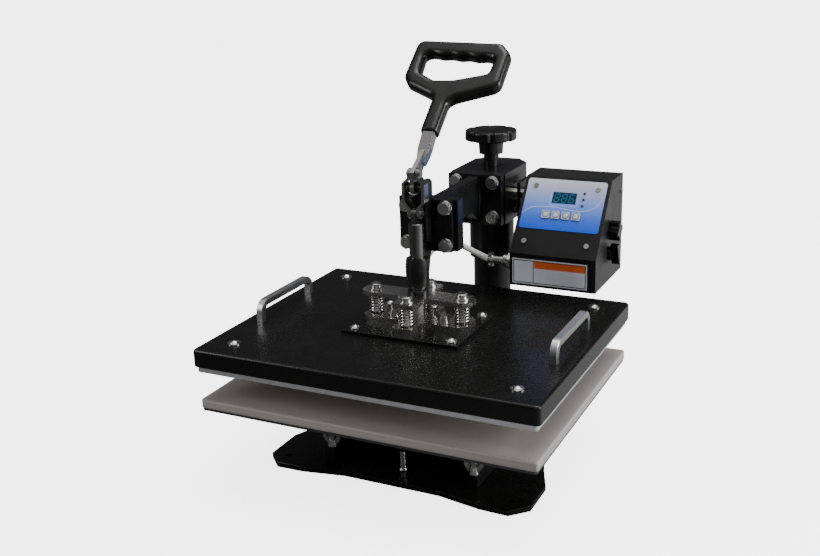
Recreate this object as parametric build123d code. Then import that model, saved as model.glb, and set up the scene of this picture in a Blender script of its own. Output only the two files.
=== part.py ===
from build123d import *
import math
import os

# Swing-away heat-transfer press: a base with a post and a lower pad, and a head that swings on
# the post and carries a toggle, a sprung heated platen and a control box.
# Millimetres. The origin is on the post's axis at the underside of the base. +X is to the
# operator's right, +Y is away from the operator and +Z is up. The press is modelled open.

# Driving dimensions
PLATEN_X, PLATEN_Y = 380.0, 300.0       # heated area
PLATEN_CY = -214.0                      # centre of the platen, the reach of the head
PRESS_GAP = 31.2                        # open height between heater plate and pad
RUN = 0.05                              # radial clearance of a running fit
GAP = 0.3                               # clearance between neighbours that move

BASE_T = 6.0
STAND_H = 14.0                          # height of the stand's rails
SUPPORT_Z = 85.7                        # underside of the steel plate below the pad
SUPPORT_T = 3.0
PAD_T = 10.1
POST_R = 23.0
POST_TOP = 262.0
SLEEVE_R = 27.5
SLEEVE_Z = (177.0, 256.0)

HEATER_Z = SUPPORT_Z + SUPPORT_T + PAD_T + PRESS_GAP
HEATER_LIP = 7.0                        # part of the heater plate that shows below the cover
COVER_Z = HEATER_Z + HEATER_LIP
COVER_T = 19.4
COVER_TOP = COVER_Z + COVER_T
COVER_RIM = 3.0                         # how far the cover stands out past the heater plate
HEATER_TOP = COVER_Z + 6.7
MOUNT_TOP = COVER_TOP + 4.0
LOWER_CROSS_T = 6.0
LOWER_CROSS_TOP = MOUNT_TOP + LOWER_CROSS_T
UPPER_CROSS_Z = 187.5
UPPER_CROSS_T = 5.0
UPPER_CROSS_TOP = UPPER_CROSS_Z + UPPER_CROSS_T
SPRING_X, SPRING_Y = 51.5, 30.0         # spring bolts on the two bars of the cross

PIVOT_Z = 310.0                         # fixed pivot of the toggle
CRANK = 15.45                           # pivot to upper pin: the ram's stroke is twice this
LINK = 44.0                             # upper pin to lower pin
UPPER_PIN_Z = PIVOT_Z + CRANK
LOWER_PIN_Z = UPPER_PIN_Z - LINK
RAM_R = 8.0
BLADE_T = 5.0
LEVER_LEAN = 38.4                       # lean of the open lever behind the vertical, degrees
GRIP_LEAN = 48.0                        # the grip leans further back than its lever
LEVER_LEN = 63.7                        # pivot to the foot of the grip

HEAD_W = 69.0
HEAD_Y = (-42.0, 48.0)
HEAD_Z = (229.0, 290.7)
FLANGE_BOLTS_X, FLANGE_BOLTS_Z = 46.0, 42.0
REAR_FLANGE_Y = (-54.0, -42.0)
FRONT_FLANGE_Y = (-183.0, -169.0)
BODY_FLANGE_T = 6.0

CASE_X = (58.5, 161.0)                  # control box
CASE_Y = (-91.3, 14.2)
CASE_Z = (171.6, 288.7)
CASE_LIP_Z = 210.5                      # top of the upright lower face
CASE_TOP_Y = -31.7                      # front edge of the top
SHEET = 1.5


def block(x, y, z):
    """Box between pairs of coordinates."""
    size = [b - a for a, b in (x, y, z)]
    middle = [(a + b) / 2 for a, b in (x, y, z)]
    return Pos(*middle) * Box(*size)


def rod(radius, start, end):
    """Round bar from one point to another."""
    start, end = Vector(*start), Vector(*end)
    plane = Plane(origin=start, z_dir=end - start)
    return extrude(plane * Circle(radius), amount=(end - start).length)


def ring(outer, inner, start, end):
    """Round tube between two points."""
    run = (Vector(*end) - Vector(*start)).normalized()
    bore = rod(inner, Vector(*start) - run, Vector(*end) + run)
    return rod(outer, start, end) - bore


def slab_yz(points, x):
    """Plate parallel to YZ, from an outline of (y, z) points, between two values of x."""
    face = Plane.YZ.offset(x[0]) * make_face(Polyline(*points, close=True))
    return extrude(face, amount=x[1] - x[0])


def slab_xy(points, z):
    """Plate parallel to XY, from an outline of (x, y) points, between two heights."""
    face = Plane.XY.offset(z[0]) * make_face(Polyline(*points, close=True))
    return extrude(face, amount=z[1] - z[0])


def mirrored(points):
    """Outline symmetric about x = 0, from the points on its right side."""
    return points + [(-x, y) for x, y in reversed(points)]


def hex_bolt(place, direction, radius, length, across, head):
    """Hexagon bolt: the shank runs along direction and the head stands the other way."""
    plane = Plane(origin=place, z_dir=direction)
    shank = extrude(plane * Circle(radius), amount=length)
    cap = extrude(plane * RegularPolygon(across / math.sqrt(3), 6), amount=-head)
    crown = extrude(plane * Circle(across * 0.56), amount=-head)
    crown = chamfer(crown.edges().group_by(Axis(place, direction))[0], across * 0.06)
    return shank + (cap & crown)


def hexagon(place, direction, bore, across, height):
    """Hexagon nut on a bore."""
    plane = Plane(origin=place, z_dir=direction)
    body = extrude(plane * RegularPolygon(across / math.sqrt(3), 6), amount=height)
    return body - extrude(plane * Circle(bore), amount=height)


def dome_screw(x, y, z, washer, head):
    """Domed cross-recess screw on a washer, its thread going down from z."""
    rise = 2.6
    sphere = (head ** 2 + rise ** 2) / (2 * rise)
    cap = Sphere(sphere) & block((-9, 9), (-9, 9), (sphere - rise, sphere + 1))
    dome = Pos(x, y, z + 1.0 + rise - sphere) * cap
    for long, wide in ((2.5, 0.55), (0.55, 2.5)):
        dome -= block((x - long, x + long), (y - wide, y + wide), (z + 2.2, z + 5))
    return rod(washer, (x, y, z), (x, y, z + 1.0)) + dome + rod(2.0, (x, y, z - 1.5), (x, y, z))


def wing_nut(x, y, z, bore):
    """Wing nut standing on height z, its wings along X."""
    hub = Pos(x, y, z + 4.0) * Cone(5.6, 4.4, 8.0)
    wing = Polyline((3.0, 1.0), (5.2, 1.0), (11.0, 9.0), (10.4, 12.6), (7.4, 12.6), (3.0, 6.0), close=True)
    wing = fillet(make_face(wing).vertices().group_by(Axis.Y)[-1], 1.2)
    leaf = extrude(Plane.XZ * wing, amount=1.3, both=True)
    leaves = leaf + mirror(leaf, Plane.YZ)
    return (hub + Pos(x, y, z) * leaves) - rod(bore, (x, y, z - 1), (x, y, z + 14))


def save(name, *solids):
    """Write one node: a single solid, or several separate ones as a group."""
    shape = solids[0] if len(solids) == 1 else Compound(children=list(solids))
    export_step(shape, f"parts/{name}.step")


def corners(half_x, half_y, cx=0.0, cy=0.0):
    """Centres of a rectangular pattern of four."""
    return [(cx + i * half_x, cy + j * half_y) for i in (-1, 1) for j in (-1, 1)]


# Base, post and stand

BASE_OUTLINE = [(0, -296), (56, -296), (106, -305), (138, -306), (156, -288), (156, -241),
                (142, -207), (100, -70), (98, 50), (84, 68), (0, 68)]
BENCH_FRONT = (134.0, -286.0)           # bench bolt holes, half spacing and row
BENCH_REAR = (78.0, 50.0)
BENCH_HOLE_R = 3.25
FOOT_BOLT = 27.0                        # half spacing of the bolts in the post's foot
RAIL_X = 86.0
STUD_Y = -270.0
STUD = (0.2, -266.0)
PEDESTAL_Y = (-254.0, -174.0)


def base_plate():
    right = [p for p in BASE_OUTLINE if p[0] > 0]
    plate = slab_xy(right + [(-x, y) for x, y in reversed(right)], (0, BASE_T))
    plate = chamfer(plate.edges().group_by(Axis.Z)[-1], 0.5)
    for half, y in (BENCH_FRONT, BENCH_REAR):
        for side in (-1, 1):
            plate -= rod(BENCH_HOLE_R, (side * half, y, -1), (side * half, y, BASE_T + 1))
    for x, y in corners(FOOT_BOLT, FOOT_BOLT):
        plate -= rod(4.0, (x, y, 0.5), (x, y, BASE_T + 1))
    for side in (-1, 1):
        plate -= rod(4.0, (side * RAIL_X, STUD_Y, 0.5), (side * RAIL_X, STUD_Y, BASE_T + 1))
    return plate


def post():
    column = rod(POST_R, (0, 0, BASE_T), (0, 0, POST_TOP))
    column = chamfer(column.edges().group_by(Axis.Z)[-1], 1.5)
    foot = rod(50.0, (0, 0, BASE_T), (0, 0, BASE_T + 12))
    foot = fillet(foot.edges().group_by(Axis.Z)[-1], 2.0)
    for x, y in corners(FOOT_BOLT, FOOT_BOLT):
        foot -= rod(4.0, (x, y, BASE_T), (x, y, BASE_T + 13))
    return column + foot


def base_bolts():
    top = BASE_T + 12
    places = corners(FOOT_BOLT, FOOT_BOLT)
    return [hex_bolt((x, y, top), (0, 0, -1), 4.0, top - 0.5, 13.0, 5.3) for x, y in places]


def stand_rails():
    rails = []
    for side in (-1, 1):
        x = side * RAIL_X
        rail = block((x - 6.5, x + 6.5), (-276, -150), (BASE_T, BASE_T + STAND_H))
        rail = chamfer(rail.edges().filter_by(Axis.Y), 0.6)
        rails.append(rail - rod(4.0, (x, STUD_Y, 0), (x, STUD_Y, 30)))
    return rails


def pedestal():
    low = BASE_T + STAND_H
    bridge = block((-RAIL_X - 6.5, RAIL_X + 6.5), (-244, -184), (low, low + 4))
    column = block((-45, 45), (-244, -184), (low + 4, SUPPORT_Z - 4))
    column -= block((-41, 41), (-240, -188), (low + 4, SUPPORT_Z - 4))
    crown = block((-62, 62), PEDESTAL_Y, (SUPPORT_Z - 4, SUPPORT_Z))
    return bridge + column + fillet(crown.edges().filter_by(Axis.Z), 4.0)


def support_plate():
    half_x, half_y = PLATEN_X / 2 - 1, PLATEN_Y / 2 - 1
    y = (PLATEN_CY - half_y, PLATEN_CY + half_y)
    plate = block((-half_x, half_x), y, (SUPPORT_Z, SUPPORT_Z + SUPPORT_T))
    return fillet(plate.edges().filter_by(Axis.Z), 3.0)


def pressing_pad():
    low = SUPPORT_Z + SUPPORT_T
    pad = Pos(0, PLATEN_CY, low + PAD_T / 2) * Box(PLATEN_X, PLATEN_Y, PAD_T)
    return fillet(pad.edges().filter_by(Axis.Z), 2.5)


def centre_stud():
    """Plain stud standing on the base in front of the pedestal, with its weld at the foot."""
    x, y = STUD
    bar = rod(3.0, (x, y, BASE_T), (x, y, 28.0))
    bar = chamfer(bar.edges().group_by(Axis.Z)[-1], 0.6)
    return bar + Pos(x, y, BASE_T + 0.9) * Cone(4.6, 3.4, 1.8)


def build_base():
    save("base_plate", base_plate())
    save("post", post())
    save("base_bolts", *base_bolts())
    save("stand_rails", *stand_rails())
    save("pedestal", pedestal())
    save("support_plate", support_plate())
    save("pressing_pad", pressing_pad())
    save("centre_stud", centre_stud())
    rail_top = BASE_T + STAND_H
    ends = [(side * RAIL_X, STUD_Y) for side in (-1, 1)]
    save("stand_studs", *[rod(4.0, (x, y, 0.5), (x, y, rail_top + 16)) for x, y in ends])
    for side, word in ((-1, "left"), (1, "right")):
        save(f"stand_wing_nut_{word}", wing_nut(side * RAIL_X, STUD_Y, rail_top + GAP, 4.0 + RUN))


# Swinging head: sleeve, head block, beam and toggle body

def head_block():
    half = HEAD_W / 2
    outline = mirrored([(half, HEAD_Y[0]), (half, 31.0), (half - 15, HEAD_Y[1])])
    inner = mirrored([(half - 5, HEAD_Y[0] + 5), (half - 5, 29.0), (half - 17, HEAD_Y[1] - 5)])
    shell = slab_xy(outline, HEAD_Z)
    shell = chamfer(shell.edges().group_by(Axis.Z)[-1], 0.6)
    shell -= slab_xy(inner, (HEAD_Z[0] + 6, HEAD_Z[1] - 5))
    shell -= rod(SLEEVE_R, (0, 0, HEAD_Z[0] - 1), (0, 0, HEAD_Z[0] + 7))
    shell -= rod(SCREW_R + RUN, (0, 0, HEAD_Z[1] - 6), (0, 0, HEAD_Z[1] + 1))
    shell -= ring(13.0, 11.6, (0, 0, HEAD_Z[1] - 0.5), (0, 0, HEAD_Z[1] + 1))
    for x, z in flange_bolts():
        shell -= rod(4.0, (x, HEAD_Y[0] - 1, z), (x, HEAD_Y[0] + 6, z))
    return shell


def flange_bolts():
    """Bolt places on the rear flange; the front flange has the same pattern, higher up."""
    return corners(FLANGE_BOLTS_X / 2, FLANGE_BOLTS_Z / 2, 0.0, 261.0)


FRONT_RISE = 2.2                        # the front bolts stand this much above the rear ones


def rear_flange():
    plate = block((-33.5, 33.5), REAR_FLANGE_Y, (229.5, 290.4))
    plate = chamfer(plate.edges().filter_by(Axis.Y), 0.8)
    for x, z in flange_bolts():
        plate -= rod(4.0, (x, REAR_FLANGE_Y[0] - 1, z), (x, REAR_FLANGE_Y[1] + 1, z))
    return plate


def front_flange():
    plate = block((-35, 35), FRONT_FLANGE_Y, (234.5, 292))
    plate = chamfer(plate.edges().filter_by(Axis.Y), 0.8)
    for x, z in flange_bolts():
        z += FRONT_RISE
        plate -= rod(4.0, (x, FRONT_FLANGE_Y[0] - 1, z), (x, FRONT_FLANGE_Y[1] + 1, z))
    return plate


def beam():
    outline = [(REAR_FLANGE_Y[0], 288.5), (FRONT_FLANGE_Y[1], 288.5), (FRONT_FLANGE_Y[1], 238),
               (FRONT_FLANGE_Y[1] + 16, 249), (REAR_FLANGE_Y[0] - 22, 249), (REAR_FLANGE_Y[0], 234)]
    bar = slab_yz(outline, (-6, 6))
    return chamfer(bar.edges().group_by(Axis.Z)[-1].filter_by(Axis.Y), 0.8)


def flange_bolt_set():
    """Eight flanged hexagon bolts, four in each pair of flanges."""
    bolts = []
    for x, z in flange_bolts():
        for y, rise, length in ((REAR_FLANGE_Y[0], 0.0, 16.5), (FRONT_FLANGE_Y[0] - BODY_FLANGE_T, FRONT_RISE, 19.0)):
            bolt = hex_bolt((x, y, z + rise), (0, 1, 0), 4.0, length, 13.0, 6.2)
            collar = rod(8.0, (x, y - 1.5, z + rise), (x, y, z + rise))
            bolts.append(bolt + chamfer(collar.edges().group_by(Axis.Y)[0], 0.8))
    return bolts


BOSS_R = 13.0
BOSS_Z = (202.0, 233.0)
LUG_X = (3.0, 7.0)
WEB_FRONT = -204.0


def toggle_body():
    front = FRONT_FLANGE_Y[0] - BODY_FLANGE_T
    flange = block((-30, 30), (front, FRONT_FLANGE_Y[0]), (234.5, 292))
    flange = chamfer(flange.edges().filter_by(Axis.Y), 0.8)
    web = slab_yz([(WEB_FRONT - 4, 204), (-194, 204), (front + 3, 236), (front + 3, 300),
                   (WEB_FRONT, 300), (WEB_FRONT, 232), (WEB_FRONT - 4, 232)], (-4, 4))
    body = flange + web
    for side in (-1, 1):
        x = sorted((side * LUG_X[0], side * LUG_X[1]))
        arm = slab_yz([(PLATEN_CY, PIVOT_Z - 5.5), (WEB_FRONT - 2, PIVOT_Z - 5.5), (WEB_FRONT, 292),
                       (WEB_FRONT, 250), (front + 3, 240), (front + 3, PIVOT_Z + 2),
                       (front - 2, PIVOT_Z + 5.5), (PLATEN_CY, PIVOT_Z + 5.5)], x)
        arm += rod(5.5, (x[0], PLATEN_CY, PIVOT_Z), (x[1], PLATEN_CY, PIVOT_Z))
        body += arm
    waist = (BOSS_Z[0] + BOSS_Z[1]) / 2
    side_line = Spline((11.2, BOSS_Z[0]), (BOSS_R, waist), (12.0, BOSS_Z[1]))
    section = make_face([side_line, Line((12.0, BOSS_Z[1]), (0, BOSS_Z[1])),
                         Line((0, BOSS_Z[1]), (0, BOSS_Z[0])), Line((0, BOSS_Z[0]), (11.2, BOSS_Z[0]))])
    boss = Pos(0, PLATEN_CY, 0) * revolve(Plane.XZ * section, Axis.Z)
    body += boss
    body -= rod(10.0, (0, PLATEN_CY, BOSS_Z[0] - 1), (0, PLATEN_CY, BOSS_Z[1] + 1))
    body -= rod(3.5, (-10, PLATEN_CY, PIVOT_Z), (10, PLATEN_CY, PIVOT_Z))
    for x, z in flange_bolts():
        z += FRONT_RISE
        body -= rod(4.0, (x, front - 1, z), (x, FRONT_FLANGE_Y[0] + 1, z))
    return body


def ram_bushes():
    low = ring(10.0, RAM_R + RUN, (0, PLATEN_CY, BOSS_Z[0] - 1.5), (0, PLATEN_CY, BOSS_Z[0] + 11))
    high = ring(10.0, RAM_R + RUN, (0, PLATEN_CY, BOSS_Z[1] - 11), (0, PLATEN_CY, BOSS_Z[1] + 1.0))
    return low, high


def pivot_pin():
    pin = rod(3.5, (-7, PLATEN_CY, PIVOT_Z), (7, PLATEN_CY, PIVOT_Z))
    for side in (-1, 1):
        pin += rod(4.2, (side * 7, PLATEN_CY, PIVOT_Z), (side * 8.5, PLATEN_CY, PIVOT_Z))
    return pin


BRACKET_X = (42.0, 46.0)
BRACKET_STUDS = corners(13.0, 10.0, 0.0, 251.0)     # (y, z) of the four studs


def box_bracket():
    plate = block(BRACKET_X, (-22, 22), (231, 277))
    plate = fillet(plate.edges().filter_by(Axis.X), 3.0)
    for y, z in BRACKET_STUDS:
        plate -= rod(3.0, (BRACKET_X[0] - 1, y, z), (BRACKET_X[1] + 1, y, z))
    return plate


def bracket_studs():
    studs = []
    half = HEAD_W / 2
    for y, z in BRACKET_STUDS:
        stud = rod(3.0, (half, y, z), (CASE_X[0], y, z))
        stud += hexagon((half, y, z), (1, 0, 0), 2.9, 10.0, BRACKET_X[0] - half)
        stud += hexagon((BRACKET_X[1], y, z), (1, 0, 0), 2.9, 10.0, 4.5)
        studs.append(stud)
    return studs


def build_head():
    save("swing_sleeve", ring(SLEEVE_R, POST_R + RUN, (0, 0, SLEEVE_Z[0]), (0, 0, SLEEVE_Z[1])))
    save("head_block", head_block())
    save("rear_flange", rear_flange())
    save("beam", beam())
    save("front_flange", front_flange())
    save("flange_bolts", *flange_bolt_set())
    save("toggle_body", toggle_body())
    save("ram_bushes", *ram_bushes())
    save("pivot_pin", pivot_pin())
    save("box_bracket", box_bracket())
    save("bracket_studs", *bracket_studs())


# Pressure adjuster on the head

KNOB_Z = (322.7, 334.7)
KNOB_R = 31.5
KNOB_LOBES = 8
HUB_Z = 306.0
SCREW_R = 9.2


def pressure_knob():
    rim = rod(KNOB_R, (0, 0, KNOB_Z[0]), (0, 0, KNOB_Z[1]))
    for i in range(KNOB_LOBES):
        turn = math.radians(360 / KNOB_LOBES * (i + 0.5))
        x, y = (KNOB_R + 1.5) * math.cos(turn), (KNOB_R + 1.5) * math.sin(turn)
        rim -= rod(4.0, (x, y, KNOB_Z[0] - 1), (x, y, KNOB_Z[1] + 1))
    rim = fillet(rim.edges().filter_by(Axis.Z), 1.5)
    rim = fillet(rim.edges().group_by(Axis.Z)[-1] + rim.edges().group_by(Axis.Z)[0], 2.0)
    reach, depth = 23.7, 4.0
    sphere = (reach ** 2 + depth ** 2) / (2 * depth)
    rim -= Pos(0, 0, KNOB_Z[1] - depth + sphere) * Sphere(sphere)
    hub = Pos(0, 0, (HUB_Z + KNOB_Z[0]) / 2) * Cone(14.5, 15.5, KNOB_Z[0] - HUB_Z)
    return rim + hub - rod(6.0, (0, 0, HUB_Z - 1), (0, 0, KNOB_Z[0] + 4))


def build_adjuster():
    save("pressure_knob", pressure_knob())
    screw = rod(SCREW_R, (0, 0, POST_TOP + GAP), (0, 0, HUB_Z)) + rod(6.0, (0, 0, HUB_Z), (0, 0, KNOB_Z[0] + 4))
    save("pressure_screw", screw - rod(2.0, (0, -12, 299.0), (0, -8.2, 299.0)))


# Lever and grip. Each is drawn flat in its own plane, u across and v along the handle.

def leaning_plane(origin, lean):
    """Plane with x across the press and y along a line that leans back by so many degrees."""
    lean = math.radians(lean)
    return Plane(origin=origin, x_dir=(1, 0, 0), z_dir=(0, -math.cos(lean), math.sin(lean)))


LEVER_PLANE = leaning_plane((0, PLATEN_CY, PIVOT_Z), LEVER_LEAN)
GRIP_PLANE = leaning_plane(LEVER_PLANE.origin + LEVER_PLANE.y_dir * LEVER_LEN, GRIP_LEAN)
GRIP_T = 17.0                           # thickness of the grip's frame
TANG = 35.0                             # length of the lever's tang inside the grip's stem
GRIP_OUTLINE = [(-10, 0), (-10, 46), (-46, 62), (-54, 74), (-53, 119), (-49, 127), (50, 124),
                (61, 112), (63, 107), (63, 66), (57, 60), (17, 45), (10, 40), (10, 0)]
GRIP_WINDOW = [(-38, 107), (46, 102), (45, 81), (7, 71), (-16, 70), (-36.5, 81)]


def lever_arm():
    half = BLADE_T / 2
    lean = math.radians(LEVER_LEAN)
    end = (PLATEN_CY + 42 * math.sin(lean), PIVOT_Z + 42 * math.cos(lean))
    side = (6.0 * math.cos(lean), -6.0 * math.sin(lean))
    blade = slab_yz([(PLATEN_CY - 7, PIVOT_Z), (PLATEN_CY - 7, PIVOT_Z + CRANK + 2),
                     (end[0] - side[0], end[1] - side[1]), (end[0] + side[0], end[1] + side[1]),
                     (PLATEN_CY + 7, PIVOT_Z + 8), (PLATEN_CY + 7, PIVOT_Z)], (-half, half))
    blade += rod(8.0, (-half, PLATEN_CY, PIVOT_Z), (half, PLATEN_CY, PIVOT_Z))
    shank_face = make_face(Polyline(*mirrored([(3.5, 28), (7.5, 46), (7.5, 68)]), close=True))
    shank = extrude(LEVER_PLANE * shank_face, amount=5.5, both=True)
    shank = chamfer(shank.edges().filter_by(Axis((0, 0, 0), LEVER_PLANE.y_dir)), 2.0)
    shank -= GRIP_PLANE * Pos(0, 20, 0) * Box(60, 40, 60)
    tang = GRIP_PLANE * Pos(0, TANG / 2, 0) * Box(8.0, TANG, 8.0)
    arm = blade + shank + tang
    arm -= rod(3.5 + RUN, (-9, PLATEN_CY, PIVOT_Z), (9, PLATEN_CY, PIVOT_Z))
    return arm - rod(3.0 + RUN, (-9, PLATEN_CY, UPPER_PIN_Z), (9, PLATEN_CY, UPPER_PIN_Z))


def hand_grip():
    face = make_face(Polyline(*GRIP_OUTLINE, close=True))
    face = fillet([vertex for vertex in face.vertices() if vertex.Y > 1], 8.0)
    outer = extrude(GRIP_PLANE * face, amount=GRIP_T / 2, both=True)
    window = make_face(Polyline(*GRIP_WINDOW, close=True))
    window = fillet(window.vertices(), 4.5)
    frame = outer - extrude(GRIP_PLANE * window, amount=GRIP_T, both=True)
    rims = frame.faces().filter_by(Axis((0, 0, 0), GRIP_PLANE.z_dir))
    rims = [edge for face in rims for edge in face.edges()]
    rims = [edge for edge in rims if (edge.center() - GRIP_PLANE.origin).dot(GRIP_PLANE.y_dir) > 0.5]
    frame = fillet(rims, 6.5)
    return frame - GRIP_PLANE * Pos(0, TANG / 2, 0) * Box(8.0, TANG, 8.0)


def build_lever():
    save("lever_arm", lever_arm())
    save("hand_grip", hand_grip())


# Yoke that joins the lever to the ram

STRAP_T = 3.5
STRAP_W = 11.0
STRAP_LINE = [(3.0, 0), (3.0, -4), (9.6, -10.5), (9.6, -30), (3.2, -37), (3.2, -LINK)]


def strap():
    """Right cheek: a flat bar bowed outwards in the middle, round at both ends."""
    line = [(x, UPPER_PIN_Z + z) for x, z in STRAP_LINE]
    outline = line + [(x + STRAP_T, z) for x, z in reversed(line)]
    face = Plane.XZ.offset(-PLATEN_CY) * make_face(Polyline(*outline, close=True))
    body = extrude(face, amount=STRAP_W / 2, both=True)
    for (x, _), z in ((STRAP_LINE[0], UPPER_PIN_Z), (STRAP_LINE[-1], LOWER_PIN_Z)):
        body += rod(STRAP_W / 2, (x, PLATEN_CY, z), (x + STRAP_T, PLATEN_CY, z))
        body -= rod(3.0, (x - 1, PLATEN_CY, z), (x + STRAP_T + 1, PLATEN_CY, z))
    return body


def rivet(start, end, z):
    """Rivet between two values of x, with a head on each outer end."""
    body = rod(3.0, (start, PLATEN_CY, z), (end, PLATEN_CY, z))
    for x in (start, end):
        if abs(x) > 5:
            outward = math.copysign(1.5, x)
            body += rod(3.9, (x, PLATEN_CY, z), (x + outward, PLATEN_CY, z))
    return body


def build_yoke():
    right = strap()
    save("yoke_straps", right, mirror(right, Plane.YZ))
    top = STRAP_LINE[0][0] + STRAP_T
    low = STRAP_LINE[-1][0] + STRAP_T
    upper = rivet(-top, top, UPPER_PIN_Z)
    lower = [rivet(*sorted((side * STRAP_LINE[-1][0], side * low)), LOWER_PIN_Z) for side in (-1, 1)]
    save("yoke_rivets", upper, *lower)


# Ram and upper cross

TONGUE_X = 2.8
SHOULDER_Z = LOWER_PIN_Z - 9.5
COLLAR_Z = (UPPER_CROSS_TOP, 199.0)
UPPER_ARM_X, UPPER_ARM_Y = 66.0, 39.0
UPPER_HALF_X, UPPER_HALF_Y = 13.0, 14.0     # half widths of the Y bar and of the X bar


def cross(arm_x, arm_y, half_x, half_y, tip, inner, z):
    """Plus-shaped plate with chamfered tips and rounded inner corners."""
    right = [(half_x, -arm_y), (half_x, -half_y), (arm_x - tip, -half_y), (arm_x, -half_y + tip),
             (arm_x, half_y - tip), (arm_x - tip, half_y), (half_x, half_y), (half_x, arm_y)]
    plate = slab_xy([(x, y + PLATEN_CY) for x, y in mirrored(right)], z)
    upright = plate.edges().filter_by(Axis.Z)
    notch = [e for e in upright if abs(abs(e.center().X) - half_x) < 0.1
             and abs(abs(e.center().Y - PLATEN_CY) - half_y) < 0.1]
    plate = fillet(notch, inner)
    ends = [e for e in plate.edges().filter_by(Axis.Z) if abs(abs(e.center().Y - PLATEN_CY) - arm_y) < 0.1]
    return chamfer(ends, 2.5)


def spring_places():
    along_x = [(side * SPRING_X, PLATEN_CY) for side in (-1, 1)]
    along_y = [(0, PLATEN_CY + side * SPRING_Y) for side in (-1, 1)]
    return along_x + along_y


def upper_cross():
    z = (UPPER_CROSS_Z, UPPER_CROSS_TOP)
    plate = cross(UPPER_ARM_X, UPPER_ARM_Y, UPPER_HALF_X, UPPER_HALF_Y, 8.0, 4.0, z)
    for x, y in spring_places():
        plate -= rod(3.5 + RUN, (x, y, z[0] - 1), (x, y, z[1] + 1))
    return plate - rod(6.0, (0, PLATEN_CY, z[0] - 1), (0, PLATEN_CY, z[1] + 1))


def ram():
    shaft = rod(RAM_R, (0, PLATEN_CY, UPPER_CROSS_TOP), (0, PLATEN_CY, SHOULDER_Z))
    shaft = chamfer(shaft.edges().group_by(Axis.Z)[-1], 0.8)
    stub = rod(6.0, (0, PLATEN_CY, UPPER_CROSS_Z), (0, PLATEN_CY, UPPER_CROSS_TOP))
    flat = block((-TONGUE_X, TONGUE_X), (PLATEN_CY - 7, PLATEN_CY + 7), (SHOULDER_Z - 4, LOWER_PIN_Z))
    flat += rod(7.0, (-TONGUE_X, PLATEN_CY, LOWER_PIN_Z), (TONGUE_X, PLATEN_CY, LOWER_PIN_Z))
    return shaft + stub + flat


def ram_collar():
    collar = ring(11.2, RAM_R, (0, PLATEN_CY, COLLAR_Z[0]), (0, PLATEN_CY, COLLAR_Z[1]))
    return chamfer(collar.edges().group_by(Axis.Z)[-1].sort_by(SortBy.LENGTH)[-1], 1.5)


def build_ram():
    save("ram", ram())
    save("upper_cross", upper_cross())
    save("ram_collar", ram_collar())


# Sprung platen

WIRE_R = 1.3
COIL_R = 7.1
COILS = 5.5
MOUNT_X, MOUNT_Y = 68.0, 53.0
DOMES_MOUNT = (57.0, 42.0)
DOMES_COVER = (160.0, 122.0)
CROSS_STUDS = [(-26.0, PLATEN_CY - 9.0), (34.0, PLATEN_CY - 9.0)]
HANDLE_X, HANDLE_Y, HANDLE_H = 172.0, 51.0, 23.5
CABLE_IN = (-32.0, -146.0)


def coil_spring(x, y, low, high):
    """Compression spring with closed, flat ends."""
    free = high - low - 2 * WIRE_R
    helix = Helix(pitch=free / COILS, height=free, radius=COIL_R)
    profile = Plane(origin=helix @ 0, z_dir=helix % 0) * Circle(WIRE_R)
    turns = Pos(x, y, low + WIRE_R) * sweep(profile, path=helix, is_frenet=True)
    slice_box = block((x - 9, x + 9), (y - 9, y + 9), (low, high))
    for z in (low + WIRE_R, high - WIRE_R):
        turns += Pos(x, y, z) * Torus(COIL_R, WIRE_R)
    return turns & slice_box


def spring_bolt(x, y):
    """Cheese-head bolt on a washer, its shank down through both crosses."""
    top = UPPER_CROSS_TOP + GAP
    head = rod(5.8, (x, y, top + 1.2), (x, y, top + 6.4))
    head = chamfer(head.edges().group_by(Axis.Z)[-1], 0.8)
    head -= block((x - 5.0, x + 5.0), (y - 0.7, y + 0.7), (top + 5.0, top + 7))
    return head + rod(7.6, (x, y, top), (x, y, top + 1.2)) + rod(3.5, (x, y, MOUNT_TOP), (x, y, top))


def lower_cross():
    """Cross on the mount plate, with the two studs of its wing nuts welded in."""
    plate = cross(62.0, 43.0, 12.5, 18.0, 6.0, 4.0, (MOUNT_TOP, LOWER_CROSS_TOP))
    for x, y in spring_places():
        plate -= rod(3.5, (x, y, MOUNT_TOP - 1), (x, y, LOWER_CROSS_TOP + 1))
    for x, y in CROSS_STUDS:
        plate += rod(3.0, (x, y, MOUNT_TOP), (x, y, LOWER_CROSS_TOP + 14))
    return plate


def dome_places():
    mount = [(x, y, MOUNT_TOP) for x, y in corners(*DOMES_MOUNT, cy=PLATEN_CY)]
    cover = [(x, y, COVER_TOP) for x, y in corners(*DOMES_COVER, cy=PLATEN_CY)]
    return mount + cover


def mount_plate():
    plate = block((-MOUNT_X, MOUNT_X), (PLATEN_CY - MOUNT_Y, PLATEN_CY + MOUNT_Y), (COVER_TOP, MOUNT_TOP))
    plate = chamfer(plate.edges().group_by(Axis.Z)[-1], 0.5)
    for x, y, z in dome_places()[:4]:
        plate -= rod(2.0, (x, y, z - 1.5), (x, y, z + 1))
    return plate


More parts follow.
